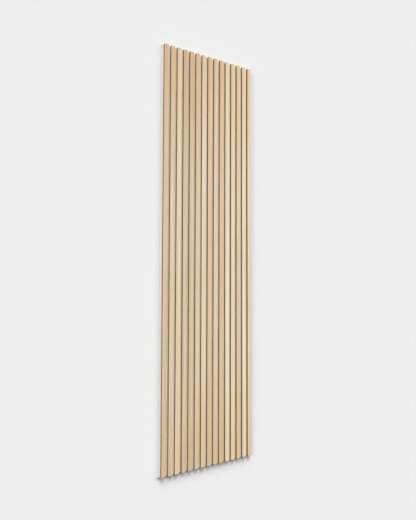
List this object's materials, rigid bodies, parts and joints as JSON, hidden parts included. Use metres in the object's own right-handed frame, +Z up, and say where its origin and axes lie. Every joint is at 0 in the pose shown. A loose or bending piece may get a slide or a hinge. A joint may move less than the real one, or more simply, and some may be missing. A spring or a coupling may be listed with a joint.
{
  "type": "acoustic slat wall panel",
  "caption": "Tall wall panel of pale wood-faced slats side by side on a grey felt board, with bare felt in the gaps.",
  "frame": {"origin": "centre of the felt's back face, which lies against the wall", "axes": "+Z up along the slats, +X across the panel, +Y into the wall; the slats face -Y"},
  "size_m": [0.6, 0.021, 2.4],
  "materials": {
    "felt": "matt pressed felt",
    "core": "raw fibreboard, sawn",
    "veneer": "pale straight grain, matt lacquer",
    "staple": "plain wire"
  },
  "bodies": {
    "root": {"felt_backing": "felt", "slat_core_01": "core", "slat_core_02": "core", "slat_core_03": "core", "slat_core_04": "core", "slat_core_05": "core", "slat_core_06": "core", "slat_core_07": "core", "slat_core_08": "core", "slat_core_09": "core", "slat_core_10": "core", "slat_core_11": "core", "slat_core_12": "core", "slat_core_13": "core", "slat_core_14": "core", "slat_core_15": "core", "face_veneer_01": "veneer", "face_veneer_02": "veneer", "face_veneer_03": "veneer", "face_veneer_04": "veneer", "face_veneer_05": "veneer", "face_veneer_06": "veneer", "face_veneer_07": "veneer", "face_veneer_08": "veneer", "face_veneer_09": "veneer", "face_veneer_10": "veneer", "face_veneer_11": "veneer", "face_veneer_12": "veneer", "face_veneer_13": "veneer", "face_veneer_14": "veneer", "face_veneer_15": "veneer", "staples": "staple"}
  },
  "joints": []
}
